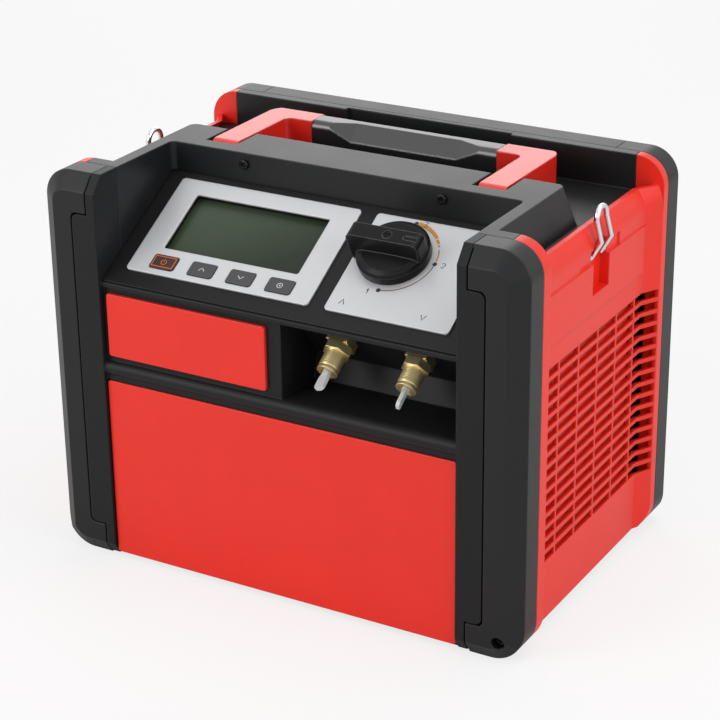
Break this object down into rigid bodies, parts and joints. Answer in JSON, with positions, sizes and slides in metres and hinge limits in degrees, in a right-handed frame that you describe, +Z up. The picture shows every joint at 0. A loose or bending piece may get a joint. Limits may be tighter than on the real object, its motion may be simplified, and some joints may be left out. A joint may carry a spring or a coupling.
{
  "type": "refrigerant recovery machine",
  "caption": "Portable refrigerant recovery machine: red and black case with corner bumpers, sloped console with display and selector, flare fittings, louvred sides and a folding handle.",
  "frame": {"origin": "middle of the footprint, on the floor", "axes": "+X to the right seen from the front, +Y to the back, +Z up"},
  "size_m": [0.4, 0.274, 0.312],
  "materials": {
    "black_plastic": "fine satin grain",
    "red_plastic": "fine satin grain",
    "console_black": "fine grain",
    "silver_plate": "satin silver film",
    "lcd_glass": "clear, glossy",
    "lcd_module": "green-grey liquid crystal",
    "key_dark": "satin",
    "key_brown": "satin",
    "knob_black": "half gloss",
    "steel": "bright",
    "brass": "bright turned",
    "clear_plug": "milky, translucent",
    "grip_black": "satin",
    "motor_paint": "satin",
    "cast_alloy": "cast, matt",
    "mount_rubber": "matt",
    "copper": "drawn tube",
    "board_green": "varnished board",
    "fan_black": "satin",
    "inlet_black": "half gloss"
  },
  "bodies": {
    "case": {"bumper_front_left": "black_plastic", "bumper_front_right": "black_plastic", "bumper_rear_left": "black_plastic", "bumper_rear_right": "black_plastic", "front_fascia": "black_plastic", "rear_panel": "black_plastic", "top_cover": "black_plastic", "lower_front_panel": "red_plastic", "label_plate": "red_plastic", "side_panel_left": "red_plastic", "side_panel_right": "red_plastic", "console_bed": "console_black", "display_bezel": "silver_plate", "valve_plate": "silver_plate", "display_window": "lcd_glass", "display_module": "lcd_module", "pressure_sensors": "steel", "hinge_pins": "steel", "base_pan": "steel", "inlet_fitting": "brass", "outlet_fitting": "brass", "inlet_filter": "brass", "motor": "motor_paint", "crankcase": "cast_alloy", "cylinders": "cast_alloy", "cylinder_heads": "cast_alloy", "valve_manifold": "cast_alloy", "condenser_coil": "cast_alloy", "rubber_mounts": "mount_rubber", "pipes": "copper", "key_board": "board_green", "control_board": "board_green", "fan_frame": "fan_black", "mains_inlet": "inlet_black", "switch_frame": "inlet_black"},
    "handle": {"carry_handle": "red_plastic", "handle_grip": "grip_black"},
    "selector": {"selector_knob": "knob_black", "selector_stem": "steel"},
    "power_key": {"key_power": "key_brown"},
    "key_a": {"key_1": "key_dark"},
    "key_b": {"key_2": "key_dark"},
    "key_c": {"key_3": "key_dark"},
    "loop_left": {"strap_loop_left": "steel"},
    "loop_right": {"strap_loop_right": "steel"},
    "fan": {"fan_rotor": "fan_black"},
    "plug_inlet": {"inlet_plug": "clear_plug"},
    "plug_outlet": {"outlet_plug": "clear_plug"},
    "rocker": {"switch_rocker": "inlet_black"}
  },
  "joints": [
    {"name": "handle_hinge", "type": "hinge", "parent": "case", "child": "handle", "pos_m": [0, -0.0055, 0.3008], "axis": [1, 0, 0], "range_deg": [0, 90]},
    {"name": "selector_turn", "type": "hinge", "parent": "case", "child": "selector", "pos_m": [0.0665, -0.07151, 0.2675], "axis": [0, -0.5, 0.866], "range_deg": [-90, 90]},
    {"name": "power_key_press", "type": "slide", "parent": "case", "child": "power_key", "axis": [0, 0.5, -0.866], "range_m": [0, 0.0005], "stiffness_N_per_m": 2000, "springref_m": -0.0005},
    {"name": "key_a_press", "type": "slide", "parent": "case", "child": "key_a", "axis": [0, 0.5, -0.866], "range_m": [0, 0.0005], "stiffness_N_per_m": 2000, "springref_m": -0.0005},
    {"name": "key_b_press", "type": "slide", "parent": "case", "child": "key_b", "axis": [0, 0.5, -0.866], "range_m": [0, 0.0005], "stiffness_N_per_m": 2000, "springref_m": -0.0005},
    {"name": "key_c_press", "type": "slide", "parent": "case", "child": "key_c", "axis": [0, 0.5, -0.866], "range_m": [0, 0.0005], "stiffness_N_per_m": 2000, "springref_m": -0.0005},
    {"name": "loop_left_hinge", "type": "hinge", "parent": "case", "child": "loop_left", "pos_m": [-0.1885, 0.003, 0.267], "axis": [0, -1, 0], "range_deg": [0, 150]},
    {"name": "loop_right_hinge", "type": "hinge", "parent": "case", "child": "loop_right", "pos_m": [0.1885, 0.003, 0.267], "axis": [0, 1, 0], "range_deg": [0, 150]},
    {"name": "fan_spin", "type": "hinge", "parent": "case", "child": "fan", "pos_m": [0.142, 0, 0.118], "axis": [1, 0, 0], "continuous": true},
    {"name": "plug_inlet_pull", "type": "slide", "parent": "case", "child": "plug_inlet", "axis": [0, -0.8191, -0.5736], "range_m": [0, 0.02]},
    {"name": "plug_outlet_pull", "type": "slide", "parent": "case", "child": "plug_outlet", "axis": [0, -0.8191, -0.5736], "range_m": [0, 0.02]},
    {"name": "rocker_tip", "type": "hinge", "parent": "case", "child": "rocker", "pos_m": [0.042, 0.129, 0.06], "axis": [-1, 0, 0], "range_deg": [0, 20]}
  ]
}
